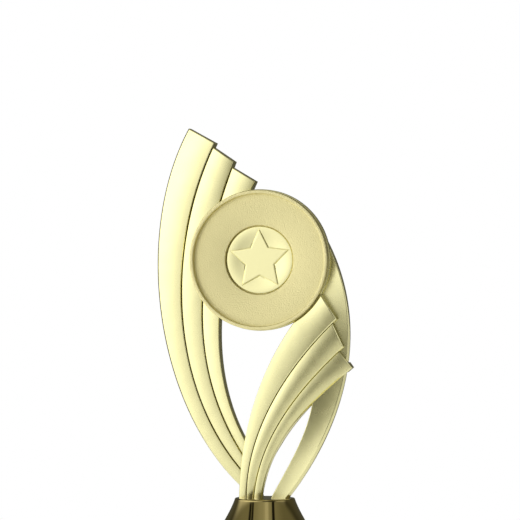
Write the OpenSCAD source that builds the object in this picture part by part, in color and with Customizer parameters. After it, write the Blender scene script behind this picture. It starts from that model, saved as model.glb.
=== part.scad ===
// Star trophy: two stepped plumes and a crescent of metallised plastic around a round star centre,
// on a flared riser and a square stone base, all pulled together by one threaded rod.
// Millimetres, +Z up, the front faces -Y. The origin is on the rod's axis, under the felt.

/* [Base] */
// Width and depth of the square stone
base_w = 64; // [60:1:80]
// Height of the stone
stone_h = 25; // [22:1:40]
// Bevel along the stone's top edges
stone_bevel = 1.5; // [0.5:0.5:3]
// Thickness of the felt under the stone
felt_t = 1; // [0.5:0.5:3]
// Width of the blank name plate
plate_w = 42; // [30:1:50]
// Height of the blank name plate
plate_h = 14; // [10:1:18]

/* [Riser] */
// Height of the flared riser
riser_h = 26.25; // [24:0.25:32]
// Radius of the riser's flat top
riser_top_r = 11.5; // [11:0.1:12.5]
// Radius of the riser's foot
riser_foot_r = 26; // [25:0.5:29]
// Wall thickness of the riser
riser_wall = 1.8; // [1.4:0.1:2.4]

/* [Centre] */
// Radius of the disc's front lip
lip_r = 26.5; // [26.2:0.1:26.6]
// Radius of the textured face inside the lip
face_r = 25.1; // [24.6:0.1:25.2]
// Radius of the seat for a one-inch centre
seat_r = 13.1; // [12.9:0.1:13.4]
// Radius of the star centre, one inch across
centre_r = 12.7; // [12.5:0.1:12.8]
// Radius to the star's points
star_r = 11.4; // [10:0.1:12]
// Radius to the star's inner corners
star_inner_r = 5.6; // [4.4:0.1:6.5]
// Height of the star above its ground
star_relief = 0.4; // [0.2:0.1:0.6]

/* [Blades] */
// Wall thickness of the hollow blades
wall = 1.6; // [1.2:0.1:1.8]
// Bevel along the blades' front edges
edge_bevel = 0.3; // [0.2:0.05:0.5]
// Gap left for cement between two blades
blade_gap = 0.1; // [0.05:0.05:0.2]
// Stations along each blade
stations = 26; // [18:1:30]

/* [Fastening] */
// Radius of the threaded rod
rod_r = 3; // [2.5:0.5:3]
// Width of the nuts across their flats
nut_af = 10; // [8:0.5:10]
// Thickness of the nuts
nut_h = 5; // [4:0.5:5]

/* [Hidden] */

gold = "#e6dc9c";
dark_gold = "#7a7042";
steel = "#b9bcc0";
$fn = 96;

// Heights of the stack
stone_top = felt_t + stone_h;
riser_top = stone_top + riser_h;

// Clearances and small thicknesses
slip = 0.1;
glue_t = 0.3;
back_t = 1.2;

// Rod, nuts and the recess under the stone
recess_r = 12;
recess_h = 8;
washer_t = 1.2;
washer_r = 9;
rod_hole_r = rod_r + 0.3;
nut_corner_r = nut_af / 2 / cos(30);
block_r = 7.9;
block_h = 8;
web_h = 3;
rod_bottom = felt_t + 1.2;
rod_top = riser_top - 1.6;

// Planes of the disc, front to back
lip_y = -9;
face_y = -6.6;
centre_y = -5.2;
seam_y = -5.1;
floor_y = -4;
cup_back_y = -3.1;
disc_back_y = -2;
disc_back_r = 26.8;
disc_x = -1;
disc_z = riser_top + 90.35;
star_turn = 1.2;

// Back faces of the plumes and the crescent
left_back_y = 5.5;
right_root_y = -0.2;
right_back_y = 2;
right_tip_y = 5;
crescent_front_y = -1.8;
crescent_back_y = 2.3;

// Screws that hold the disc: place across the front, measured up from the riser's top
screw_r = 1.3;
head_r = 2.7;
head_h = 1.5;
boss_r = 2.8;
left_screw = [-16.1, 98.95];
right_screw = [20, 92.25];

// --- Curves. Points are [x, z], with z up from the riser's top. ---

function cubic(p, t) =
    pow(1 - t, 3) * p[0] + 3 * pow(1 - t, 2) * t * p[1] + 3 * (1 - t) * t * t * p[2] + t * t * t * p[3];

// A short curve from the root up to where p starts, in line with p there
function root_curve(root, p) =
    let (lead = p[0] - 0.12 * (p[1] - p[0]))
    [root, (root + 2 * lead) / 3, (p[0] + 2 * lead) / 3, p[0]];

// A cubic along the arc of radius r round the disc's centre, from angle a to angle b
function disc_arc(r, a, b) =
    let (c = [disc_x, disc_z - riser_top],
         pull = 4 / 3 * tan((b - a) / 4) * r,
         p = c + r * [cos(a), sin(a)],
         q = c + r * [cos(b), sin(b)])
    [p, p + pull * [-sin(a), cos(a)], q - pull * [-sin(b), cos(b)], q];

// An edge is [share, first cubic, second cubic]; the first covers that share of the way
function on_edge(edge, s) =
    s <= edge[0] ? cubic(edge[1], s / edge[0]) : cubic(edge[2], (s - edge[0]) / (1 - edge[0]));

// Left plume, from its outer edge inwards
left_0 = [[-10.3, 4.75], [-43.2, 36.3], [-51.1, 101.5], [-29.7, 140.6]];
left_1 = [[-9.8, 11.05], [-37.8, 44.35], [-37.8, 96.65], [-19.2, 134.85]];
left_2 = [[-9.1, 16.65], [-31.2, 51.75], [-26.3, 89.75], [-11.85, 127.75]];
left_3 = [[-8.2, 22.45], [-24.4, 52.65], [-17.7, 89.55], [-3.65, 120.2]];
root_share = 0.12;
left_edges = [
    [root_share, root_curve([-5.5, 0], left_0), left_0],
    [root_share, root_curve([-4, 0], left_1), left_1],
    [root_share, root_curve([-2.6, 0], left_2), left_2],
    [root_share, root_curve([-1.2, 0], left_3), left_3],
];

// Right plume, from its upper edge downwards; the first edge ends along the disc
meets_disc = 0.82;
right_edges = [
    [meets_disc, [[-9.4, 0], [-8.6, 23.95], [-1.8, 47.45], [12.3, 66.85]],
                 disc_arc(disc_back_r + 0.15, -60.5, -29)],
    [1, [[-6.6, 0], [-6.5, 26.05], [10.4, 51.05], [28.6, 68.05]]],
    [1, [[-3.9, 0], [-1.8, 23.15], [14.6, 42.65], [30.75, 57.55]]],
    [1, [[-0.7, 0], [2.1, 22.05], [17.9, 36.05], [33.6, 49.55]]],
];

// Crescent: inner and outer edge, both ending in the point behind the disc
crescent_edges = [
    [0.36, [[2.5, 0], [8.8, 11.75], [15.9, 22.65], [18.3, 35.55]],
           [[18.3, 35.55], [21.9, 53.25], [20.3, 74.25], [11.5, 109.55]]],
    [0.86, [[9.2, 0], [31.3, 28.45], [41, 64.95], [23.9, 97.85]],
           [[23.9, 97.85], [21.6, 102.25], [17.8, 107.25], [12.2, 111.25]]],
];

// --- Blades. Each is lofted from stations across two edges. ---

function mix(a, b, t) = a + (b - a) * t;
function ramp(s, from, to) = let (t = max(0, min(1, (s - from) / (to - from)))) t * t * (3 - 2 * t);

// A value that runs through v[0], v[1] and v[2] at the root, the middle and the end
function through(v, s) =
    v[0] * (1 - s) * (1 - 2 * s) + 4 * v[1] * s * (1 - s) + v[2] * s * (2 * s - 1);

// Places across a blade: the back corner, the bevel, the arched face, the bevel and the back corner
across = [0, 0, 0.04, 0.2, 0.4, 0.6, 0.8, 0.96, 1, 1];
last = len(across) - 1;

// Front of the section at share u, from foot at one edge to rim at the other and arched by rise
function arched(u, foot, rim, rise) = mix(foot, rim, u) - 4 * rise * u * (1 - u);

// One section: the outer chain of points from left to right, then the cavity's chain back again.
// Where hollow is 0 the cavity's chain lies on the back face.
function section(l, r, foot, rim, bulge, back, hollow) =
    let (width = norm(r - l),
         border = min(0.35, wall / width),
         outer = [for (i = [0 : last])
             let (at = mix(l, r, across[i]),
                  front = arched(across[i], foot, rim, bulge * width),
                  y = i == 0 || i == last ? back : i == 1 || i == last - 1 ? front + edge_bevel : front)
             [at[0], y, at[1]]],
         inner = [for (i = [last : -1 : 0])
             let (u = mix(border, 1 - border, i / last),
                  at = mix(l, r, u),
                  roof = min(back, arched(u, foot, rim, bulge * width) + wall),
                  y = i == 0 || i == last ? back : mix(back, roof, hollow))
             [at[0], y, at[1]]])
    concat(outer, inner);

// Loft of sections; ends are closed by quads between the outer and the cavity's chain
module loft(sections) {
    n = len(sections);
    m = len(sections[0]);
    chain = m / 2;
    points = [for (ring = sections) each ring];
    sides = [for (k = [0 : n - 2], i = [0 : m - 1])
        let (j = (i + 1) % m)
        each [[k * m + i, (k + 1) * m + j, k * m + j], [k * m + i, (k + 1) * m + i, (k + 1) * m + j]]];
    root_cap = [for (i = [0 : chain - 2])
        let (a = i, b = i + 1, c = m - 2 - i, d = m - 1 - i)
        each i < chain / 2 ? [[a, b, d], [b, c, d]] : [[a, c, d], [a, b, c]]];
    end_cap = [for (face = root_cap) [for (k = [2 : -1 : 0]) face[k] + (n - 1) * m]];
    translate([0, 0, riser_top])
        polyhedron(points = points, faces = concat(sides, root_cap, end_cap), convexity = 6);
}

// A blade between two edges. ends gives the share of each edge that it reaches, foot and rim the
// depths of its two front edges at each station, bulge the rise of the front between them as a share
// of the width, and cavity the shares between which the blade is hollow.
module blade(left, right, ends, foot, rim, bulge, back, cavity, gap) {
    loft([for (k = [0 : stations])
        let (s = k / stations,
             l = on_edge(left, s * ends[0]),
             r = on_edge(right, s * ends[1]),
             along = (r - l) / norm(r - l),
             hollow = ramp(s, cavity[0], cavity[0] + 0.04) - ramp(s, cavity[1] - 0.04, cavity[1]))
        section(l + gap / 2 * along, r - gap / 2 * along, foot[k], rim[k], bulge[k], back[k], hollow)]);
}

// The same value at every station, and a value that runs through three at the stations
function level(y) = [for (k = [0 : stations]) y];
function run(v) = [for (k = [0 : stations]) through(v, k / stations)];
no_cavity = [2, 3];

// Depths of the left blades at the root, the middle and the end
left_feet = [[1.1, -1.4, -0.5], [1.3, -1.1, -1.4], [1.6, -0.6, -0.9]];
left_rims = [[0.5, -1.9, -2.3], [0.8, -1.4, -1.8], [1, -1.1, -1.3]];
left_bulge = [0.025, 0.025, 0.045];
left_ends = [[1, 1], [0.9875, 1], [0.983, 1]];
left_cavity = [0.26, 0.9];

module left_blade(i) {
    blade(left_edges[i], left_edges[i + 1], left_ends[i], run(left_feet[i]), run(left_rims[i]),
          run(left_bulge), level(left_back_y), left_cavity, blade_gap);
}

// Back of the right plume: shallow at the root, where it passes in front of the left plume
right_back = [for (k = [0 : stations])
    let (s = k / stations)
    right_root_y + (right_back_y - right_root_y) * ramp(s, 0.25, 0.36)
        + (right_tip_y - right_back_y) * ramp(s, 0.8, 1)];

// Depths of the right blades at the root, the middle and the end
right_feet = [[-3.9, -6.3, -6.9], [-3.5, -5.4, -5.6], [-2.6, -3.9, -2.7]];
right_rims = [[-4, -6.3, -6.3], [-2.9, -4.8, -3.4], [-2.3, -2.8, -0.8]];
right_bulge = [[0.03, 0.02, 0.05], [0.07, 0.07, 0.04], [0.07, 0.07, 0.04]];
right_ends = [[1, 1], [0.968, 1], [0.962, 1]];
right_cavity = [0.36, 0.62];

module right_blade(i) {
    difference() {
        blade(right_edges[i], right_edges[i + 1], right_ends[i], run(right_feet[i]), run(right_rims[i]),
              run(right_bulge[i]), right_back, right_cavity, blade_gap);
        crescent_saddle();
    }
}

// The crescent's outer edge falls back along the middle of its length
crescent_bulge = -0.015;
crescent_rim = [for (k = [0 : stations])
    let (s = k / stations)
    crescent_front_y + 0.2 + 2.4 * ramp(s, 0.08, 0.5) - 3.1 * ramp(s, 0.44, 0.78)];

// Room for the crescent under the right plume
module crescent_saddle() {
    blade(crescent_edges[0], crescent_edges[1], [1, 1], level(crescent_front_y - slip),
          [for (y = crescent_rim) y - slip], level(crescent_bulge), level(right_tip_y + 1),
          no_cavity, -3 * slip);
}

// Outline between two edges, widened or narrowed by inset
function outline(left, right, from, to, inset) =
    let (steps = 24,
         rows = [for (k = [0 : steps])
             let (s = mix(from, to, k / steps), l = on_edge(left, s), r = on_edge(right, s))
             [l + inset * (r - l) / norm(r - l), r - inset * (r - l) / norm(r - l)]])
    concat([for (row = rows) row[0]], [for (k = [steps : -1 : 0]) rows[k][1]]);

// A flat plate in the plane of the figure, from depth y0 back to y1
module slab(points, y0, y1) {
    translate([0, y1, riser_top])
        rotate([90, 0, 0])
            linear_extrude(height = y1 - y0)
                polygon(points);
}

// Places a shape on the disc's axis; its own +Z points to the back of the trophy
module on_disc(at, y) {
    translate([at[0], y, riser_top + at[1]])
        rotate([-90, 0, 0])
            children();
}

disc_at = [disc_x, disc_z - riser_top];

module disc_ring(profile) {
    on_disc(disc_at, 0)
        rotate_extrude()
            polygon(profile);
}

module hex_nut() {
    difference() {
        cylinder(r = nut_corner_r, h = nut_h, $fn = 6);
        translate([0, 0, -1])
            cylinder(r = rod_r, h = nut_h + 2);
    }
}

// --- Base ---

module base_felt() {
    color("#20241f")
        translate([-base_w / 2 + 1, -base_w / 2 + 1, 0])
            cube([base_w - 2, base_w - 2, felt_t]);
}

// Square block seen from one side, with its two upper corners cut off
module bevelled_side() {
    half = base_w / 2;
    translate([0, half, felt_t])
        rotate([90, 0, 0])
            linear_extrude(height = base_w)
                polygon([[-half, 0], [half, 0], [half, stone_h - stone_bevel],
                         [half - stone_bevel, stone_h], [stone_bevel - half, stone_h],
                         [-half, stone_h - stone_bevel]]);
}

module stone_base() {
    color("#1b1b1d")
        difference() {
            intersection() {
                bevelled_side();
                rotate([0, 0, 90])
                    bevelled_side();
            }
            translate([0, 0, felt_t - 1])
                cylinder(r = recess_r, h = recess_h + 1);
            cylinder(r = rod_hole_r + 0.3, h = stone_top + 1);
        }
}

module plate_adhesive() {
    color("#e8e8e0")
        translate([1 - plate_w / 2, -base_w / 2 - glue_t, felt_t + (stone_h - plate_h) / 2 + 1])
            cube([plate_w - 2, glue_t, plate_h - 2]);
}

module name_plate() {
    corner = 2;
    plate_t = 0.8;
    color("#d9c98a")
        translate([0, -base_w / 2 - glue_t, felt_t + stone_h / 2])
            rotate([90, 0, 0])
                linear_extrude(height = plate_t)
                    polygon([for (q = [0 : 3], a = [0 : 15 : 90])
                        let (sx = q == 0 || q == 3 ? 1 : -1, sy = q < 2 ? 1 : -1)
                        [sx * (plate_w / 2 - corner), sy * (plate_h / 2 - corner)]
                            + corner * [cos(q * 90 + a), sin(q * 90 + a)]]);
}

module base_nut() {
    color(steel)
        translate([0, 0, felt_t + recess_h - washer_t - nut_h])
            hex_nut();
}

module base_washer() {
    color(steel)
        translate([0, 0, felt_t + recess_h - washer_t])
            difference() {
                cylinder(r = washer_r, h = washer_t);
                translate([0, 0, -1])
                    cylinder(r = rod_hole_r, h = washer_t + 2);
            }
}

module threaded_rod() {
    color(steel)
        translate([0, 0, rod_bottom])
            cylinder(r = rod_r, h = rod_top - rod_bottom);
}

// --- Riser ---

// Flare of the riser, from its foot up to its neck
function flare(inset) =
    let (p = [[riser_foot_r - 1, 4], [riser_foot_r - 6.5, riser_h - 15.4],
              [riser_top_r + 2.3, riser_h - 7], [riser_top_r, riser_h - 0.6]])
    [for (k = [0 : 14]) cubic(p, k / 14) - [inset, 0]];

module riser() {
    outside = flare(0);
    inside = [for (p = flare(riser_wall)) if (p[1] < riser_h - block_h - web_h - 0.5) p];
    neck_in = [inside[len(inside) - 1][0] - 0.8, riser_h - block_h - web_h];
    color(dark_gold)
        translate([0, 0, stone_top])
            rotate_extrude($fn = 128)
                polygon(concat(
                    [[riser_foot_r - 1 - riser_wall, 0], [riser_foot_r - 0.4, 0],
                     [riser_foot_r, 0.4], [riser_foot_r, 3.2]],
                    outside,
                    [[riser_top_r - 0.2, riser_h - 0.2], [riser_top_r - 0.6, riser_h],
                     [block_r + slip, riser_h], [block_r + slip, riser_h - block_h],
                     [rod_hole_r, riser_h - block_h], [rod_hole_r, riser_h - block_h - web_h],
                     neck_in],
                    [for (k = [len(inside) - 1 : -1 : 0]) inside[k]]));
}

module captive_nut() {
    color(steel)
        translate([0, 0, riser_top - block_h])
            hex_nut();
}

module root_block() {
    pocket_h = nut_h + 0.2;
    color(gold)
        translate([0, 0, riser_top - block_h])
            difference() {
                cylinder(r = block_r, h = block_h);
                translate([0, 0, -1])
                    cylinder(r = nut_corner_r + slip, h = pocket_h + 1, $fn = 6);
                cylinder(r = rod_r + slip, h = block_h - 1.2);
            }
}

// --- Figure ---

module left_blade_outer() {
    color(gold)
        left_blade(0);
}

module left_blade_middle() {
    color(gold)
        left_blade(1);
}

module left_blade_inner() {
    color(gold)
        difference() {
            left_blade(2);
            on_disc(left_screw, -5)
                cylinder(r = screw_r + 0.2, h = 8);
        }
}

module left_plume_back() {
    color(gold)
        difference() {
            slab(outline(left_edges[0], left_edges[3], 0.2, 0.93, 0.5), left_back_y, left_back_y + back_t);
            on_disc(left_screw, left_back_y - 1)
                cylinder(r = screw_r + 0.2, h = back_t + 2);
        }
}

module crescent_blade() {
    color(gold)
        difference() {
            blade(crescent_edges[0], crescent_edges[1], [1, 1], level(crescent_front_y), crescent_rim,
                  level(crescent_bulge), level(crescent_back_y), no_cavity, blade_gap);
            on_disc(right_screw, -5)
                cylinder(r = screw_r + 0.2, h = 10);
        }
}

module right_blade_upper() {
    color(gold)
        right_blade(0);
}

module right_blade_middle() {
    color(gold)
        right_blade(1);
}

module right_blade_lower() {
    color(gold)
        right_blade(2);
}

module right_plume_back() {
    color(gold)
        slab(outline(right_edges[0], right_edges[3], 0.34, 0.64, 0.5), right_back_y, right_back_y + back_t);
}

// --- Disc ---

module disc_front() {
    ring_r = 24.1;
    cup_r = seat_r + 1.2;
    color(gold)
        disc_ring([[0, floor_y], [seat_r, floor_y], [seat_r, face_y], [face_r, face_y],
                   [face_r + 0.1, lip_y + 0.2], [face_r + 0.3, lip_y], [lip_r - 0.3, lip_y],
                   [lip_r, lip_y + 0.3], [lip_r, seam_y], [ring_r + 1, seam_y],
                   [ring_r + 1, cup_back_y - 0.5], [ring_r, cup_back_y - 0.5], [ring_r, seam_y],
                   [cup_r, seam_y], [cup_r, cup_back_y], [0, cup_back_y]]);
}

module disc_back() {
    plate_y = cup_back_y + slip;
    color(gold)
        difference() {
            union() {
                disc_ring([[0, plate_y], [disc_back_r - 1.4, plate_y], [disc_back_r - 1.4, seam_y],
                           [disc_back_r - 0.3, seam_y], [disc_back_r, seam_y + 0.3],
                           [disc_back_r, disc_back_y - 0.3], [disc_back_r - 0.3, disc_back_y],
                           [0, disc_back_y]]);
                for (at = [left_screw, right_screw])
                    on_disc(at, seam_y + slip)
                        cylinder(r = boss_r, h = 2.5);
            }
            for (at = [left_screw, right_screw])
                on_disc(at, seam_y + 0.6)
                    cylinder(r = screw_r + 0.02, h = 5);
        }
}

module centre_adhesive() {
    color("#e8e8e0")
        on_disc(disc_at, floor_y - glue_t)
            cylinder(r = centre_r - 1, h = glue_t);
}

module star_centre() {
    back_y = floor_y - glue_t;
    color(gold)
        union() {
            on_disc(disc_at, centre_y)
                cylinder(r = centre_r, h = back_y - centre_y);
            on_disc(disc_at, centre_y - star_relief)
                rotate([0, 0, -star_turn])
                    linear_extrude(height = star_relief + 0.1)
                        polygon([for (k = [0 : 9])
                            let (r = k % 2 == 0 ? star_r : star_inner_r, a = 36 * k - 90)
                            r * [cos(a), sin(a)]]);
        }
}

// A pan-head screw with a cross slot, its head behind the plane y
module screw(at, y) {
    tip_y = seam_y + 0.8;
    on_disc(at, y)
        difference() {
            cylinder(r = head_r, h = head_h);
            for (turn = [0, 90])
                rotate([0, 0, turn])
                    translate([-1.6, -0.3, head_h - 0.7])
                        cube([3.2, 0.6, 1]);
        }
    on_disc(at, tip_y)
        cylinder(r = screw_r, h = y - tip_y);
}

module disc_screws() {
    color(steel) {
        screw(left_screw, left_back_y + back_t);
        screw(right_screw, crescent_back_y);
    }
}

base_felt();
stone_base();
plate_adhesive();
name_plate();
base_nut();
base_washer();
threaded_rod();
riser();
captive_nut();
root_block();
left_blade_outer();
left_blade_middle();
left_blade_inner();
left_plume_back();
crescent_blade();
right_blade_upper();
right_blade_middle();
right_blade_lower();
right_plume_back();
disc_back();
disc_front();
centre_adhesive();
star_centre();
disc_screws();
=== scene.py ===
"""Looks of the star trophy: metallised plumes and crescent, star disc, mirror riser, stone base."""

import math

import bmesh
import bpy
from mathutils import Matrix, Vector


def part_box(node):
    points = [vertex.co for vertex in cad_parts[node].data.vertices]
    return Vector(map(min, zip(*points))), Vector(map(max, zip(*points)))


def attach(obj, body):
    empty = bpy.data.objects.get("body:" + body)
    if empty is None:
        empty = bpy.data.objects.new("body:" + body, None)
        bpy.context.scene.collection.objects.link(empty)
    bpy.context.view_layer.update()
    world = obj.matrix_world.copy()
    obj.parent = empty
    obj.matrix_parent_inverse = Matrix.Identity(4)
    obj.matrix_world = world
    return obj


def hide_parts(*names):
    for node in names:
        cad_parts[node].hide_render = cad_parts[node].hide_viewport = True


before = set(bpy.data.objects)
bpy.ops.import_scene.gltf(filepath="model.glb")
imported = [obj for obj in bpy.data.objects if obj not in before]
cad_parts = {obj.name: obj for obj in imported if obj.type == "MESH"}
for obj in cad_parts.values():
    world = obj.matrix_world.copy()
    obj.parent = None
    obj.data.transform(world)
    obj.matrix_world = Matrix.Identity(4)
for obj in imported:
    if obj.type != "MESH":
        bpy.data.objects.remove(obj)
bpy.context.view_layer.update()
MM = 0.001
TAU = 2 * math.pi

# --- Places taken from the frame ---------------------------------------------------------------

riser_low, riser_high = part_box("riser")
disc_low, disc_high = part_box("disc_front")
RISER_TOP = riser_high.z
DISC_X = (disc_low.x + disc_high.x) / 2
DISC_Z = (disc_low.z + disc_high.z) / 2


# --- Small mesh tools --------------------------------------------------------------------------

def new_object(name, mesh):
    """Links a mesh to the scene as a new object."""
    obj = bpy.data.objects.new(name, mesh)
    bpy.context.scene.collection.objects.link(obj)
    return obj


def smooth(mesh, angle=35):
    """Shades smooth, with hard edges where two faces meet at more than the angle."""
    mesh.polygons.foreach_set("use_smooth", [True] * len(mesh.polygons))
    mesh.set_sharp_from_angle(angle=math.radians(angle))


def finish_mesh(name, verts, faces, angle=35):
    """Makes an object from points in metres and faces, with normals outwards."""
    mesh = bpy.data.meshes.new(name)
    mesh.from_pydata(verts, [], faces)
    tidy = bmesh.new()
    tidy.from_mesh(mesh)
    bmesh.ops.remove_doubles(tidy, verts=tidy.verts, dist=1e-7)
    bmesh.ops.recalc_face_normals(tidy, faces=tidy.faces)
    tidy.to_mesh(mesh)
    tidy.free()
    smooth(mesh, angle)
    return new_object(name, mesh)


def dress(obj, material, slot, *nodes):
    """Gives a piece its material and ties it to the frame."""
    obj.data.materials.clear()
    obj.data.materials.append(material)
    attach(obj, "root")
    if nodes:
        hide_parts(*nodes)
    return obj


def mix(a, b, t):
    """Value or point at the share t of the way from a to b."""
    return a + (b - a) * t


def ramp(s, start, end):
    """Smooth step from 0 at start to 1 at end."""
    t = min(max((s - start) / (end - start), 0.0), 1.0)
    return t * t * (3 - 2 * t)


def through(values, s):
    """Runs through three values at the root, the middle and the end."""
    return (values[0] * (1 - s) * (1 - 2 * s) + 4 * values[1] * s * (1 - s)
            + values[2] * s * (2 * s - 1))


# --- Outlines, in mm from the riser's top, as in the CAD ----------------------------------------

def cubic(p, t):
    """Point at t on the cubic with four control points."""
    weights = ((1 - t) ** 3, 3 * (1 - t) ** 2 * t, 3 * (1 - t) * t * t, t ** 3)
    return Vector([sum(w * q[i] for w, q in zip(weights, p)) for i in (0, 1)])


def root_curve(root, p):
    """A short curve from the root up to where p starts, in line with p there."""
    root, start, after = Vector(root), Vector(p[0]), Vector(p[1])
    lead = start - ROOT_SHARE * (after - start)
    return [root, (root + 2 * lead) / 3, (start + 2 * lead) / 3, start]


def disc_arc(radius, a, b):
    """A cubic along an arc round the disc's centre, angles in degrees."""
    a, b = math.radians(a), math.radians(b)
    centre = Vector((DISC_X, DISC_Z - RISER_TOP)) / MM
    pull = 4 / 3 * math.tan((b - a) / 4) * radius
    p = centre + radius * Vector((math.cos(a), math.sin(a)))
    q = centre + radius * Vector((math.cos(b), math.sin(b)))
    return [p, p + pull * Vector((-math.sin(a), math.cos(a))),
            q - pull * Vector((-math.sin(b), math.cos(b))), q]


def on_edge(edge, s):
    """Point on an edge given as (share, first cubic, second cubic)."""
    share = edge[0]
    if s <= share:
        return cubic(edge[1], s / share)
    return cubic(edge[2], (s - share) / (1 - share))


# Left plume from its outer edge inwards: the root, and the cubic above it
LEFT = [
    ((-5.5, 0), [(-10.3, 4.75), (-43.2, 36.3), (-51.1, 101.5), (-29.7, 140.6)]),
    ((-4, 0), [(-9.8, 11.05), (-37.8, 44.35), (-37.8, 96.65), (-19.2, 134.85)]),
    ((-2.6, 0), [(-9.1, 16.65), (-31.2, 51.75), (-26.3, 89.75), (-11.85, 127.75)]),
    ((-1.2, 0), [(-8.2, 22.45), (-24.4, 52.65), (-17.7, 89.55), (-3.65, 120.2)]),
]
ROOT_SHARE = 0.12
LEFT_EDGES = [(ROOT_SHARE, root_curve(root, p), p) for root, p in LEFT]

# Right plume from its upper edge downwards; the upper edge ends along the disc
MEETS_DISC = 0.82
ALONG_DISC = disc_arc(26.95, -60.5, -29)
RIGHT_EDGES = [
    (MEETS_DISC, [(-9.4, 0), (-8.6, 23.95), (-1.8, 47.45), (12.3, 66.85)], ALONG_DISC),
    (1, [(-6.6, 0), (-6.5, 26.05), (10.4, 51.05), (28.6, 68.05)]),
    (1, [(-3.9, 0), (-1.8, 23.15), (14.6, 42.65), (30.75, 57.55)]),
    (1, [(-0.7, 0), (2.1, 22.05), (17.9, 36.05), (33.6, 49.55)]),
]

# Crescent: inner and outer edge, which meet in the point behind the disc
CRESCENT_EDGES = [
    (0.36, [(2.5, 0), (8.8, 11.75), (15.9, 22.65), (18.3, 35.55)],
     [(18.3, 35.55), (21.9, 53.25), (20.3, 74.25), (11.5, 109.55)]),
    (0.86, [(9.2, 0), (31.3, 28.45), (41, 64.95), (23.9, 97.85)],
     [(23.9, 97.85), (21.6, 102.25), (17.8, 107.25), (12.2, 111.25)]),
]


# --- Blades --------------------------------------------------------------------------------------

STATIONS = 150
TIP_STEPS = 3
FACE_STEPS = 22
ROUND_STEPS = 5
BEVEL_STEPS = 3
WALL_STEPS = 2
LENGTH_STEPS = 40
# Largest share of a blade's width that one front edge takes
WIDEST_EDGE = 0.2
# A line of points this much further in than an edge keeps the shading of the face flat
HOLD = 1.2
# How far the back's points keep from its corners, as a share of the width
BACK_INSET = 0.001
# Shares along a blade between which its far edge narrows
NARROWS = (0.5, 0.72)
# Hard edges are those where faces meet at more than this
BLADE_ANGLE = 40


def spaced_stations(tip_w, length):
    """Shares along a blade, close together where its tip is bevelled."""
    body = 1 - 1.5 * tip_w / length
    shares = [mix(0, body, k / STATIONS) for k in range(STATIONS + 1)]
    return shares + [mix(1 - tip_w / length, 1, k / TIP_STEPS) for k in range(TIP_STEPS + 1)]


def edge_length(edge):
    """Length of an edge, measured in short steps."""
    points = [on_edge(edge, k / LENGTH_STEPS) for k in range(LENGTH_STEPS + 1)]
    return sum((after - point).length for point, after in zip(points, points[1:]))


def blade_front(face, s, width, back, near, far, drop, flat):
    """Front of one section, from back corner to back corner, as (share across, depth)."""
    start = min(near[0] / width, WIDEST_EDGE)
    stop = 1 - min(far[0] / width, WIDEST_EDGE)
    near_top = face(0, s, width) + max(near[1], drop)
    far_top = face(1, s, width) + max(far[1], drop)
    front = [(0.0, mix(back, near_top, k / WALL_STEPS)) for k in range(WALL_STEPS + 1)]
    for k in range(1, ROUND_STEPS + 1):
        share = k / ROUND_STEPS
        a = share * math.pi / 2
        u = start * (share if flat else 1 - math.cos(a))
        rise = share if flat else math.sin(a)
        front.append((u, face(u, s, width) + max(near[1] * (1 - rise), drop)))
    inner = [start * HOLD] + [mix(start, stop, k / FACE_STEPS) for k in range(1, FACE_STEPS)]
    inner += [1 - (1 - stop) * HOLD, stop]
    front += [(u, face(u, s, width) + drop) for u in inner]
    for k in range(1, BEVEL_STEPS):
        share = k / BEVEL_STEPS
        u = mix(stop, 1, share)
        front.append((u, face(u, s, width) + max(far[1] * share, drop)))
    front += [(1.0, mix(back, far_top, k / WALL_STEPS)) for k in range(WALL_STEPS, -1, -1)]
    return front


def blade_faces(ring, rows):
    """Faces of a tube of sections with ring points each, closed at both ends."""
    faces = []
    for row in range(rows - 1):
        low = row * ring
        for i in range(ring):
            j = (i + 1) % ring
            faces.append((low + i, low + j, low + ring + j, low + ring + i))
    half = (ring + 2) // 2
    for base in (0, (rows - 1) * ring):
        for i in range(1, half - 2):
            faces.append((base + i, base + i + 1, base + ring - i - 1, base + ring - i))
        faces.append((base, base + 1, base + ring - 1))
        faces.append((base + half - 2, base + half - 1, base + half))
    return faces


def blade(name, left, right, ends, face, back, near, far, tip, far_end=1, gap=0.05, flat=False):
    """Blade between two edges. face(u, s, width) is the depth of its front, back(s) of its back.
    near, far and tip are the width and depth of its front edges; near is rounded unless flat."""
    length = edge_length(right)
    stations = spaced_stations(tip[0], length)
    verts = []
    for s in stations:
        left_at = on_edge(left, s * ends[0])
        right_at = on_edge(right, s * ends[1])
        along = (right_at - left_at).normalized()
        left_at = left_at + gap * along
        right_at = right_at - gap * along
        width = (right_at - left_at).length
        drop = tip[1] * max(1 - (1 - s) * length / tip[0], 0)
        keep = mix(1, far_end, ramp(s, *NARROWS))
        front = blade_front(face, s, width, back(s), near, (far[0] * keep, far[1] * keep), drop, flat)
        for u, y in front:
            p = mix(left_at, right_at, u)
            verts.append(Vector((p.x, y, p.y)))
        for k in range(len(front) - 2, 0, -1):
            u = mix(BACK_INSET, 1 - BACK_INSET, k / (len(front) - 1))
            p = mix(left_at, right_at, u)
            verts.append(Vector((p.x, back(s), p.y)))
    faces = blade_faces(len(verts) // len(stations), len(stations))
    verts = [Vector((v.x * MM, v.y * MM, v.z * MM + RISER_TOP)) for v in verts]
    return finish_mesh(name, verts, faces, BLADE_ANGLE)


def arched(foot, rim, bulge):
    """Front of a plume blade: from its foot to its rim, arched across by a share of its width."""
    def face(u, s, width):
        rise = through(bulge, s) * width
        return mix(through(foot, s), through(rim, s), u) - 4 * rise * u * (1 - u)
    return face


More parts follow.
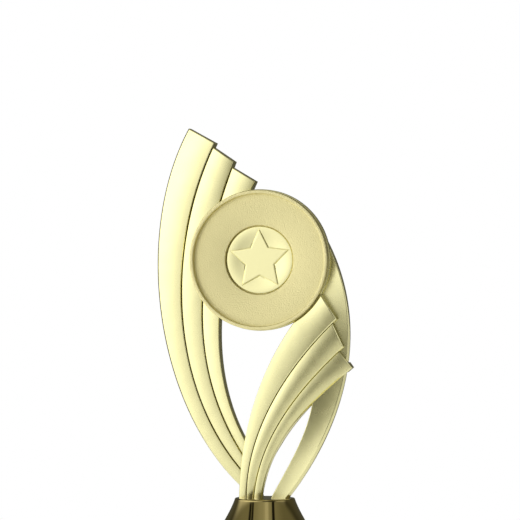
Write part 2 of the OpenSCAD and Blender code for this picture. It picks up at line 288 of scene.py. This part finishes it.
# Depths in mm at the root, the middle and the end, for each blade, as in the CAD
LEFT_FEET = [(1.1, -1.4, -0.5), (1.3, -1.1, -1.4), (1.6, -0.6, -0.9)]
LEFT_RIMS = [(0.5, -1.9, -2.3), (0.8, -1.4, -1.8), (1, -1.1, -1.3)]
LEFT_BULGE = (0.025, 0.025, 0.045)
RIGHT_FEET = [(-3.9, -6.3, -6.9), (-3.5, -5.4, -5.6), (-2.6, -3.9, -2.7)]
RIGHT_RIMS = [(-4, -6.3, -6.3), (-2.9, -4.8, -3.4), (-2.3, -2.8, -0.8)]
RIGHT_BULGE = [(0.03, 0.02, 0.05), (0.07, 0.07, 0.04), (0.07, 0.07, 0.04)]

# Shares of their two edges that the blades reach
LEFT_ENDS = [(1, 1), (0.9875, 1), (0.983, 1)]
RIGHT_ENDS = [(1, 1), (0.968, 1), (0.962, 1)]
LEFT_GAP = 0.08

# Back faces of the plumes and the crescent, and the room between the crescent and its saddle
LEFT_BACK = 5.5
RIGHT_ROOT_BACK = -0.2
RIGHT_BACK = 2
RIGHT_TIP_BACK = 5
CRESCENT_FRONT = -1.8
CRESCENT_BACK = 2.3
CRESCENT_DISH = 0.015
SLIP = 0.1


def right_back(s):
    """Back of the right plume, shallow where it passes in front of the left plume."""
    return (RIGHT_ROOT_BACK + (RIGHT_BACK - RIGHT_ROOT_BACK) * ramp(s, 0.25, 0.36)
            + (RIGHT_TIP_BACK - RIGHT_BACK) * ramp(s, 0.8, 1))


def crescent_face(u, s, width):
    """Front of the crescent, dished across, whose outer edge falls back and comes forward again."""
    fall = 0.2 + 2.4 * ramp(s, 0.08, 0.5) - 3.1 * ramp(s, 0.44, 0.78)
    return CRESCENT_FRONT + fall * u + 4 * CRESCENT_DISH * width * u * (1 - u)


def cut_by(obj, cutter):
    """Takes the cutter away from the piece and applies the result."""
    boolean = obj.modifiers.new("cut", "BOOLEAN")
    boolean.operation = "DIFFERENCE"
    boolean.solver = "EXACT"
    boolean.object = cutter
    dg = bpy.context.evaluated_depsgraph_get()
    mesh = bpy.data.meshes.new_from_object(obj.evaluated_get(dg))
    obj.modifiers.clear()
    obj.data = mesh
    smooth(mesh, BLADE_ANGLE)


def saddle_cutter():
    """Room for the crescent under the right plume."""
    return blade("saddle_cutter", *CRESCENT_EDGES, (1, 1),
                 lambda u, s, width: crescent_face(u, s, width) - SLIP, lambda s: RIGHT_TIP_BACK + 1,
                 SLIGHT, SLIGHT, SLIGHT, gap=-1.5 * SLIP)


# Kinds of front edge, as width and depth in mm
SLIGHT = (0.2, 0.15)
STEEP = (0.6, 1.05)
WALL = (0.45, 0.9)
LINE = (0.3, 0.7)
PALE = (0.35, 0.28)
BORDER = (1.1, 0.74)
BORDER_END = 0.3


def make_blades(gold):
    """The seven blades of the figure."""
    for i, part in enumerate(("outer", "middle", "inner")):
        node = f"left_blade_{part}"
        face = arched(LEFT_FEET[i], LEFT_RIMS[i], LEFT_BULGE)
        piece = blade(f"{node}_fine", LEFT_EDGES[i], LEFT_EDGES[i + 1], LEFT_ENDS[i], face,
                      lambda s: LEFT_BACK, STEEP if i == 0 else LINE, SLIGHT, SLIGHT,
                      gap=LEFT_GAP, flat=i == 0)
        dress(piece, gold, "figure_gold", node)
    cutter = saddle_cutter()
    for i, part in enumerate(("upper", "middle", "lower")):
        node = f"right_blade_{part}"
        face = arched(RIGHT_FEET[i], RIGHT_RIMS[i], RIGHT_BULGE[i])
        piece = blade(f"{node}_fine", RIGHT_EDGES[i], RIGHT_EDGES[i + 1], RIGHT_ENDS[i], face,
                      right_back, LINE, WALL if i == 2 else PALE, PALE)
        cut_by(piece, cutter)
        dress(piece, gold, "figure_gold", node)
    bpy.data.objects.remove(cutter)
    piece = blade("crescent_fine", *CRESCENT_EDGES, (1, 1), crescent_face, lambda s: CRESCENT_BACK,
                  LINE, BORDER, SLIGHT, BORDER_END)
    dress(piece, gold, "figure_gold", "crescent_blade")


# --- Turned parts --------------------------------------------------------------------------------

def lathe(name, profile, place, sides=192, angle=35):
    """Turns a closed profile of (radius, height) in mm about +Z, then puts it in place."""
    rings = []
    verts = []
    for r, h in profile:
        if r < 1e-6:
            rings.append([len(verts)])
            verts.append(place @ Vector((0, 0, h * MM)))
            continue
        rings.append(list(range(len(verts), len(verts) + sides)))
        for k in range(sides):
            a = TAU * k / sides
            verts.append(place @ Vector((r * MM * math.cos(a), r * MM * math.sin(a), h * MM)))
    faces = []
    for ring, after in zip(rings, rings[1:] + rings[:1]):
        if len(ring) == 1 and len(after) == 1:
            continue
        for k in range(sides):
            j = (k + 1) % sides
            if len(ring) == 1:
                faces.append((ring[0], after[k], after[j]))
            elif len(after) == 1:
                faces.append((ring[k], after[0], ring[j]))
            else:
                faces.append((ring[k], after[k], after[j], ring[j]))
    return finish_mesh(name, verts, faces, angle)


def rounded(points, radius, steps=4):
    """Rounds those corners of a run of (radius, height) that carry True as a third value."""
    out = []
    for i, p in enumerate(points):
        if len(p) < 3:
            out.append((p[0], p[1]))
            continue
        here = Vector(p[:2])
        before = (Vector(points[i - 1][:2]) - here).normalized()
        after = (Vector(points[(i + 1) % len(points)][:2]) - here).normalized()
        start = here + before * radius
        end = here + after * radius
        for k in range(steps + 1):
            t = k / steps
            q = (1 - t) ** 2 * start + 2 * (1 - t) * t * here + t * t * end
            out.append((q.x, q.y))
    return out


ON_DISC = Matrix.Translation((DISC_X, 0, DISC_Z)) @ Matrix.Rotation(math.radians(-90), 4, "X")

# Radii of the disc in mm
BACK_R = 26.8
LIP_R = 26.5
BORE_R = 25.4
FACE_R = 25.1
CUP_R = 14.3
SEAT_R = 13.1
# Planes of the disc in mm, front to back
LIP_Y = -9
FACE_Y = -6.6
BRIM_Y = -5.2
SEAM_Y = -5.1
CENTRE_BACK_Y = -4.3
FLOOR_Y = -4
CUP_BACK_Y = -3.1
WEB_Y = -3
DISC_BACK_Y = -2


def make_disc(gold, face_gold):
    """The holder's two shells."""
    back = rounded([(0, WEB_Y), (BORE_R, WEB_Y), (BORE_R, SEAM_Y), (BACK_R, SEAM_Y, True),
                    (BACK_R, DISC_BACK_Y, True), (0, DISC_BACK_Y)], 0.35)
    dress(lathe("disc_back_fine", back, ON_DISC), gold, "figure_gold", "disc_back")
    front = rounded([(0, FLOOR_Y), (SEAT_R, FLOOR_Y), (SEAT_R, FACE_Y, True), (FACE_R, FACE_Y),
                     (FACE_R + 0.05, LIP_Y, True), (LIP_R, LIP_Y, True), (LIP_R, SEAM_Y - 0.05, True),
                     (CUP_R, SEAM_Y), (CUP_R, CUP_BACK_Y), (0, CUP_BACK_Y)], 0.3)
    dress(lathe("disc_front_fine", front, ON_DISC), face_gold, "disc_gold", "disc_front")


# Star centre in mm: radii, and depths of its surfaces
CENTRE_R = 12.7
STAR_R = 11.4
NOTCH_R = 5.6
STAR_TOP = -5.6
GROOVE = -5.1
DISH = -4.82
DISH_FROM = 5
DISH_TO = 11.8
STAR_TURN = 1.2
STAR_SIDES = 200
GROUND_RINGS = 12


def make_star(gold):
    """The star centre: a flat star in a dished ground, with a plain brim."""
    half = math.radians(36)
    cross = STAR_R * NOTCH_R * math.sin(half)
    side = math.sqrt(STAR_R ** 2 + NOTCH_R ** 2 - 2 * STAR_R * NOTCH_R * math.cos(half))
    flat = cross / side

    def outline(a, outwards=0):
        """Distance to the star's outline in the direction a, moved outwards by so many mm."""
        a = abs((a + half) % (2 * half) - half)
        reach = cross / (STAR_R * math.sin(a) + NOTCH_R * math.sin(half - a))
        return (1 + outwards / flat) * reach

    def ground(r):
        """Depth of the dished ground at the distance r from the centre."""
        return mix(DISH, BRIM_Y, ramp(r, DISH_FROM, DISH_TO))

    def groove(a):
        """Depth of the groove round the star in the direction a."""
        return max(GROOVE, ground(outline(a)))

    def ground_ring(share):
        """Ring at a share of the way from the groove to the brim."""
        def ring(a):
            r = mix(outline(a, 0.3), CENTRE_R - 0.35, share)
            return (r, ground(r))
        return ring

    rings = [lambda a, k=share: (k * outline(a), STAR_TOP) for share in (0.25, 0.6, 0.9)]
    rings.append(lambda a: (outline(a, -0.25), STAR_TOP))
    rings.append(lambda a: (outline(a, -0.08), STAR_TOP + 0.02))
    rings.append(lambda a: (outline(a), STAR_TOP + 0.1))
    rings.append(lambda a: (outline(a, 0.06), groove(a)))
    rings.append(lambda a: (outline(a, 0.22), groove(a) + 0.02))
    rings += [ground_ring(k / GROUND_RINGS) for k in range(GROUND_RINGS + 1)]
    rings.append(lambda a: (CENTRE_R - 0.15, BRIM_Y + 0.02))
    rings.append(lambda a: (CENTRE_R, BRIM_Y + 0.15))
    rings.append(lambda a: (CENTRE_R, CENTRE_BACK_Y))
    verts = [(0.0, STAR_TOP, 0.0)]
    for ring in rings:
        for k in range(STAR_SIDES):
            a = TAU * k / STAR_SIDES
            r, y = ring(a)
            verts.append((-r * math.sin(a), y, r * math.cos(a)))
    verts.append((0.0, CENTRE_BACK_Y, 0.0))
    faces = [(0, 1 + k, 1 + (k + 1) % STAR_SIDES) for k in range(STAR_SIDES)]
    for row in range(len(rings) - 1):
        low = 1 + row * STAR_SIDES
        high = low + STAR_SIDES
        for k in range(STAR_SIDES):
            j = (k + 1) % STAR_SIDES
            faces.append((low + k, high + k, high + j, low + j))
    low = 1 + (len(rings) - 1) * STAR_SIDES
    faces += [(low + k, len(verts) - 1, low + (k + 1) % STAR_SIDES) for k in range(STAR_SIDES)]
    turn = Matrix.Rotation(math.radians(-STAR_TURN), 4, "Y")
    place = Matrix.Translation((DISC_X, 0, DISC_Z)) @ turn @ Matrix.Scale(MM, 4)
    star = finish_mesh("star_fine", [place @ Vector(v) for v in verts], faces, 25)
    dress(star, gold, "star_gold", "star_centre")


# Riser in mm: the neck that holds the figure's plug, and the foot
NECK_R = 11.5
NECK_ROUND = 0.6
PLUG_R = 8
PLUG_H = 8
ROD_HOLE_R = 3.3
WEB_H = 3
RISER_WALL = 1.8
FOOT_WALL = 2.8
FOOT_ROUND = 0.4
FOOT_H = 3.2
FLARE_STEPS = 48


def make_riser(mirror):
    """The flared riser, hollow from below."""
    height = (RISER_TOP - riser_low.z) / MM
    foot = (riser_high.x - riser_low.x) / 2 / MM
    web = height - PLUG_H - WEB_H
    flare = [(foot - 1, 4), (foot - 6.5, height - 15.4), (NECK_R + 2.3, height - 7),
             (NECK_R, height - NECK_ROUND)]
    outside = [tuple(cubic(flare, k / FLARE_STEPS)) for k in range(FLARE_STEPS + 1)]
    inside = [(r - RISER_WALL, h) for r, h in outside if h < web - 0.5]
    turns = [math.radians(15 * k) for k in range(1, 7)]
    profile = [(foot - FOOT_WALL, 0), (foot - FOOT_ROUND, 0)]
    profile += [(foot - FOOT_ROUND * (1 - math.sin(a)), FOOT_ROUND * (1 - math.cos(a))) for a in turns]
    profile += [(foot, FOOT_H)] + outside
    profile += [(NECK_R - NECK_ROUND * (1 - math.cos(a)), height - NECK_ROUND * (1 - math.sin(a)))
                for a in turns]
    profile += [(PLUG_R, height), (PLUG_R, height - PLUG_H), (ROD_HOLE_R, height - PLUG_H),
                (ROD_HOLE_R, web), (inside[-1][0] - 0.8, web)] + inside[::-1]
    place = Matrix.Translation((0, 0, riser_low.z))
    dress(lathe("riser_fine", profile, place, 256, 30), mirror, "riser_gold", "riser")


# --- Materials -----------------------------------------------------------------------------------

def linear(*rgb):
    """sRGB 0-255 to a linear colour with alpha."""
    return tuple(pow((c / 255 + 0.055) / 1.055, 2.4) for c in rgb) + (1.0,)


def material(name, color, metallic, roughness):
    """A principled material, returned with its node tree and shader."""
    mat = bpy.data.materials.new(name)
    mat.use_nodes = True
    shader = mat.node_tree.nodes["Principled BSDF"]
    shader.inputs["Base Color"].default_value = color
    shader.inputs["Metallic"].default_value = metallic
    shader.inputs["Roughness"].default_value = roughness
    return mat, mat.node_tree, shader


def noise(tree, scale, detail=4.0, roughness=0.5):
    """3-D noise in metres of the object's own space."""
    coords = tree.nodes.new("ShaderNodeTexCoord")
    texture = tree.nodes.new("ShaderNodeTexNoise")
    texture.inputs["Scale"].default_value = scale
    texture.inputs["Detail"].default_value = detail
    texture.inputs["Roughness"].default_value = roughness
    tree.links.new(coords.outputs["Object"], texture.inputs["Vector"])
    return texture


def ranged(tree, source, low, high):
    """Maps 0-1 to low-high."""
    node = tree.nodes.new("ShaderNodeMapRange")
    node.inputs["To Min"].default_value = low
    node.inputs["To Max"].default_value = high
    tree.links.new(source, node.inputs["Value"])
    return node.outputs["Result"]


def bump(tree, shader, source, distance, strength=1.0):
    """Bump of the given height in metres."""
    node = tree.nodes.new("ShaderNodeBump")
    node.inputs["Distance"].default_value = distance
    node.inputs["Strength"].default_value = strength
    tree.links.new(source, node.inputs["Height"])
    tree.links.new(node.outputs["Normal"], shader.inputs["Normal"])


GOLD = (0.93, 0.878, 0.47, 1)
BLASTED_GOLD = (0.87, 0.79, 0.41, 1)
STONE = (0.009, 0.009, 0.010, 1)
VEIN = (0.22, 0.21, 0.2, 1)


def satin_gold():
    """Metallised plastic of the figure, bright with a slight waviness."""
    mat, tree, shader = material("satin_gold", GOLD, 1.0, 0.26)
    mottle = noise(tree, 160, 3)
    tree.links.new(ranged(tree, mottle.outputs["Fac"], 0.22, 0.32), shader.inputs["Roughness"])
    bump(tree, shader, noise(tree, 70, 2).outputs["Fac"], 0.00015)
    return mat


def blasted_gold():
    """The disc's grained face."""
    mat, tree, shader = material("blasted_gold", BLASTED_GOLD, 1.0, 0.42)
    grain = noise(tree, 2600, 2, 0.6)
    bump(tree, shader, grain.outputs["Fac"], 0.00012)
    return mat


def star_gold():
    """Stamped foil of the star centre."""
    mat, tree, shader = material("star_gold", GOLD, 1.0, 0.22)
    bump(tree, shader, noise(tree, 500, 2).outputs["Fac"], 0.00001)
    return mat


def mirror_gold():
    """Dark mirror plating of the riser."""
    mat, tree, shader = material("mirror_gold", linear(176, 160, 104), 1.0, 0.04)
    mottle = noise(tree, 90, 3)
    tree.links.new(ranged(tree, mottle.outputs["Fac"], 0.03, 0.06), shader.inputs["Roughness"])
    return mat


def black_marble():
    """Polished black stone with pale veins."""
    mat, tree, shader = material("black_marble", (0.01, 0.01, 0.011, 1), 0.0, 0.16)
    warp = noise(tree, 30, 6, 0.6)
    veins = tree.nodes.new("ShaderNodeValToRGB")
    elements = veins.color_ramp.elements
    for element, position in zip(elements, (0.49, 0.53)):
        element.position = position
        element.color = STONE
    elements.new(0.51).color = VEIN
    tree.links.new(warp.outputs["Fac"], veins.inputs["Fac"])
    tree.links.new(veins.outputs["Color"], shader.inputs["Base Color"])
    return mat


def plain_metal(name, color, low, high):
    """Metal with a roughness that varies finely between low and high."""
    mat, tree, shader = material(name, color, 1.0, (low + high) / 2)
    mottle = noise(tree, 900, 3)
    tree.links.new(ranged(tree, mottle.outputs["Fac"], low, high), shader.inputs["Roughness"])
    return mat


def felt():
    """Dark felt under the stone."""
    mat, tree, shader = material("felt", (0.02, 0.022, 0.02, 1), 0.0, 0.95)
    bump(tree, shader, noise(tree, 3000, 3, 0.7).outputs["Fac"], 0.0003)
    return mat


def foam():
    """Pale foam tape."""
    mat, tree, shader = material("foam_tape", (0.7, 0.7, 0.66, 1), 0.0, 0.8)
    bump(tree, shader, noise(tree, 4000, 2).outputs["Fac"], 0.0001)
    return mat


# --- Studio --------------------------------------------------------------------------------------

# Camera: degrees to the right of the front, distance, width of the view and shift to the side
VIEW_TURN = 10.6
VIEW_DISTANCE = 1.3
VIEW_WIDTH = 0.1976
VIEW_SIDE = -0.00186
SENSOR = 36
# Brightness by degrees to the right of the front
AROUND = [(-180, 0.05), (-118, 0.06), (-92, 0.6), (-60, 0.94), (-28, 0.9), (-11, 0.56), (-3, 0.42),
          (6, 0.15), (18, 0.05), (45, 0.05), (62, 0.4), (82, 0.4), (105, 0.07), (180, 0.05)]
# Share of that brightness by the sine of the height
RISE = [(-1, 0.7), (-0.4, 0.72), (-0.15, 0.75), (0.05, 1.0), (0.25, 1.0), (0.55, 0.4), (0.8, 0.28),
        (1, 0.6)]
# Brightness of the dome overhead, with the dark gaps that the riser mirrors as lines
DOME = [(-180, 0.08), (-120, 0.1), (-70, 0.16), (-56, 0.16), (-51, 0.01), (-47, 0.01), (-44, 0.1),
        (-41, 0.01), (-38, 0.01), (-33, 0.2), (0, 0.26), (8, 0.3), (14, 0.4), (22, 0.4), (28, 0.25),
        (38, 0.2), (41, 0.01), (48, 0.01), (52, 0.17), (90, 0.12), (180, 0.08)]
# Sines of the height between which the dome takes over
DOME_FROM = 0.42
DOME_FULL = 0.58
GLOW = 2.0
# Levels below this turn warm
WARM_BELOW = 0.4
FLOOR_R = 0.3
FLOOR_GLOW = 0.5


def make_camera():
    """Camera at the height of the disc, a little to the right of the front."""
    turn = math.radians(VIEW_TURN)
    right = Vector((math.cos(turn), math.sin(turn), 0))
    back = Vector((math.sin(turn), -math.cos(turn), 0))
    data = bpy.data.cameras.new("camera")
    data.sensor_width = SENSOR
    data.lens = SENSOR * VIEW_DISTANCE / VIEW_WIDTH
    data.clip_start = 0.05
    data.clip_end = 20
    cam = bpy.data.objects.new("camera", data)
    bpy.context.scene.collection.objects.link(cam)
    cam.location = right * VIEW_SIDE + back * VIEW_DISTANCE + Vector((0, 0, DISC_Z))
    cam.rotation_mode = "QUATERNION"
    cam.rotation_quaternion = (-back).to_track_quat("-Z", "Y")
    bpy.context.scene.camera = cam


def tint(level):
    """Colour of a direction: dim ones are a little warm."""
    warmth = 1 - min(level / WARM_BELOW, 1)
    return (level, level * (1 - 0.02 * warmth), level * (1 - 0.3 * warmth), 1)


def band(tree, source, low, high, stops):
    """Brightness by the value of source: stops of (value, level), eased between."""
    share = tree.nodes.new("ShaderNodeMapRange")
    share.inputs["From Min"].default_value = low
    share.inputs["From Max"].default_value = high
    tree.links.new(source, share.inputs["Value"])
    node = tree.nodes.new("ShaderNodeValToRGB")
    node.color_ramp.interpolation = "EASE"
    elements = node.color_ramp.elements
    elements.remove(elements[-1])
    elements[0].position = (stops[0][0] - low) / (high - low)
    elements[0].color = tint(stops[0][1])
    for value, level in stops[1:]:
        element = elements.new((value - low) / (high - low))
        element.color = tint(level)
    tree.links.new(share.outputs["Result"], node.inputs["Fac"])
    return node.outputs["Color"]


def around_band(tree, turn, stops):
    """Brightness by direction: stops of (degrees to the right of the front, level)."""
    return band(tree, turn, -math.pi, math.pi, [(math.radians(a), level) for a, level in stops])


def make_world():
    """Studio surroundings as a soft map of brightness by direction, plain white to the camera."""
    world = bpy.data.worlds.new("studio")
    bpy.context.scene.world = world
    world.use_nodes = True
    tree = world.node_tree
    tree.nodes.clear()
    coords = tree.nodes.new("ShaderNodeTexCoord")
    split = tree.nodes.new("ShaderNodeSeparateXYZ")
    tree.links.new(coords.outputs["Generated"], split.inputs["Vector"])
    front = tree.nodes.new("ShaderNodeMath")
    front.operation = "MULTIPLY"
    front.inputs[1].default_value = -1
    tree.links.new(split.outputs["Y"], front.inputs[0])
    turn = tree.nodes.new("ShaderNodeMath")
    turn.operation = "ARCTAN2"
    tree.links.new(split.outputs["X"], turn.inputs[0])
    tree.links.new(front.outputs[0], turn.inputs[1])
    around = around_band(tree, turn.outputs[0], AROUND)
    rise = band(tree, split.outputs["Z"], -1, 1, RISE)
    product = tree.nodes.new("ShaderNodeMix")
    product.data_type = "RGBA"
    product.blend_type = "MULTIPLY"
    product.inputs["Factor"].default_value = 1
    tree.links.new(around, product.inputs["A"])
    tree.links.new(rise, product.inputs["B"])
    dome = around_band(tree, turn.outputs[0], DOME)
    overhead = tree.nodes.new("ShaderNodeMapRange")
    overhead.interpolation_type = "SMOOTHSTEP"
    overhead.inputs["From Min"].default_value = DOME_FROM
    overhead.inputs["From Max"].default_value = DOME_FULL
    tree.links.new(split.outputs["Z"], overhead.inputs["Value"])
    light = tree.nodes.new("ShaderNodeMix")
    light.data_type = "RGBA"
    tree.links.new(overhead.outputs["Result"], light.inputs["Factor"])
    tree.links.new(product.outputs["Result"], light.inputs["A"])
    tree.links.new(dome, light.inputs["B"])
    seen = tree.nodes.new("ShaderNodeBackground")
    seen.inputs["Color"].default_value = (1, 1, 1, 1)
    glow = tree.nodes.new("ShaderNodeBackground")
    glow.inputs["Strength"].default_value = GLOW
    tree.links.new(light.outputs["Result"], glow.inputs["Color"])
    path = tree.nodes.new("ShaderNodeLightPath")
    choose = tree.nodes.new("ShaderNodeMixShader")
    tree.links.new(path.outputs["Is Camera Ray"], choose.inputs["Fac"])
    tree.links.new(glow.outputs["Background"], choose.inputs[1])
    tree.links.new(seen.outputs["Background"], choose.inputs[2])
    out = tree.nodes.new("ShaderNodeOutputWorld")
    tree.links.new(choose.outputs["Shader"], out.inputs["Surface"])
    bpy.context.scene.view_settings.view_transform = "Standard"


def make_floor():
    """Round pale floor, small enough to stay out of the front view."""
    mesh = bpy.data.meshes.new("floor")
    disc = bmesh.new()
    bmesh.ops.create_circle(disc, cap_ends=True, segments=128, radius=FLOOR_R)
    disc.to_mesh(mesh)
    disc.free()
    floor = new_object("floor", mesh)
    mat, _, shader = material("floor_paint", (0.9, 0.9, 0.9, 1), 0.0, 0.6)
    shader.inputs["Emission Color"].default_value = (1, 1, 1, 1)
    shader.inputs["Emission Strength"].default_value = FLOOR_GLOW
    mesh.materials.append(mat)


# --- Build ---------------------------------------------------------------------------------------

make_camera()
make_world()
make_floor()
SATIN = satin_gold()
BLASTED = blasted_gold()
STAR = star_gold()
MIRROR = mirror_gold()
STEEL = plain_metal("zinc_steel", linear(190, 192, 196), 0.25, 0.4)
BRASS = plain_metal("plate_brass", linear(222, 198, 130), 0.18, 0.3)
CARRIED = {
    "base_felt": felt(), "stone_base": black_marble(), "plate_adhesive": foam(), "name_plate": BRASS,
    "base_nut": STEEL, "base_washer": STEEL, "threaded_rod": STEEL, "captive_nut": STEEL,
    "root_block": MIRROR, "left_plume_back": SATIN, "right_plume_back": SATIN,
    "centre_adhesive": foam(), "star_centre": STAR, "disc_screws": STEEL,
}
for node, mat in CARRIED.items():
    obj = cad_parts[node]
    obj.data.materials.clear()
    obj.data.materials.append(mat)

make_blades(SATIN)
make_disc(SATIN, BLASTED)
make_star(STAR)
make_riser(MIRROR)
